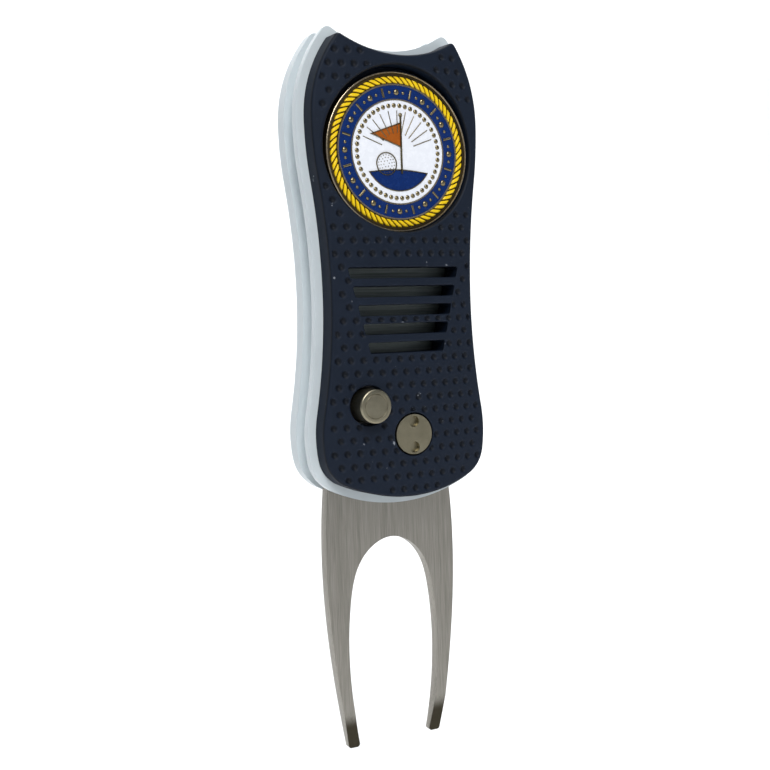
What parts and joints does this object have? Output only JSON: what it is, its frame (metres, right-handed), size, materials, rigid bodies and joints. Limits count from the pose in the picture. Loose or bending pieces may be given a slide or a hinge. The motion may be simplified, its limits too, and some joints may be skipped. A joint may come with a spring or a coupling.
{
  "type": "divot repair tool",
  "caption": "Spring-opening two-prong divot repair tool with a push-button lock and a removable magnetic ball marker in its handle.",
  "frame": {"origin": "midway between the two prong tips, halfway through the fork's thickness, with the fork open", "axes": "+Z from the tips up along the handle to its dished top; -Y out of the domed front with the marker; +X to the right seen from the front"},
  "size_m": [0.0322, 0.0147, 0.1158],
  "materials": {
    "cover_soft_touch": "navy soft-touch, satin",
    "shell_white": "white, satin",
    "plate_steel": "grey brushed sheet",
    "nickel": "satin nickel plate",
    "plain_steel": "plain",
    "collar_black": "black",
    "magnet_nickel": "nickel-plated magnet",
    "brass": "knurled brass",
    "spring_steel": "music wire",
    "fork_steel": "lengthwise brushed",
    "marker_metal": "polished antique nickel",
    "enamel_yellow": "soft enamel",
    "enamel_blue": "soft enamel",
    "enamel_white": "soft enamel"
  },
  "bodies": {
    "handle": {"front_cover": "cover_soft_touch", "front_frame": "shell_white", "rear_shell": "shell_white", "grille_plate": "plate_steel", "pivot_barrel": "nickel", "pivot_screw": "nickel", "front_washer": "plain_steel", "back_washer": "plain_steel", "button_collar": "collar_black", "magnet_cup": "plain_steel", "magnet": "magnet_nickel", "body_screws": "plain_steel", "threaded_inserts": "brass", "fork_spring": "spring_steel", "button_spring": "spring_steel"},
    "fork": {"fork": "fork_steel"},
    "button": {"button_cap": "nickel", "lock_plunger": "plain_steel", "plunger_clip": "spring_steel"},
    "marker": {"marker_disc": "marker_metal", "marker_border_enamel": "enamel_yellow", "marker_ring_enamel": "enamel_blue", "marker_field_enamel": "enamel_white"}
  },
  "joints": [
    {"name": "fork_swing", "type": "hinge", "parent": "handle", "child": "fork", "pos_m": [0.00055, 0, 0.0518], "axis": [0, -1, 0], "range_deg": [0, 180], "stiffness_Nm_per_rad": 0.01, "springref_deg": -85.94, "deforming": ["fork_spring"]},
    {"name": "button_press", "type": "slide", "parent": "handle", "child": "button", "axis": [0, 1, 0], "range_m": [0, 0.0016], "stiffness_N_per_m": 400, "springref_m": -0.003, "deforming": ["button_spring"]},
    {"name": "marker_lift", "type": "slide", "parent": "handle", "child": "marker", "axis": [0, -1, 0], "range_m": [0, 0.01]}
  ]
}
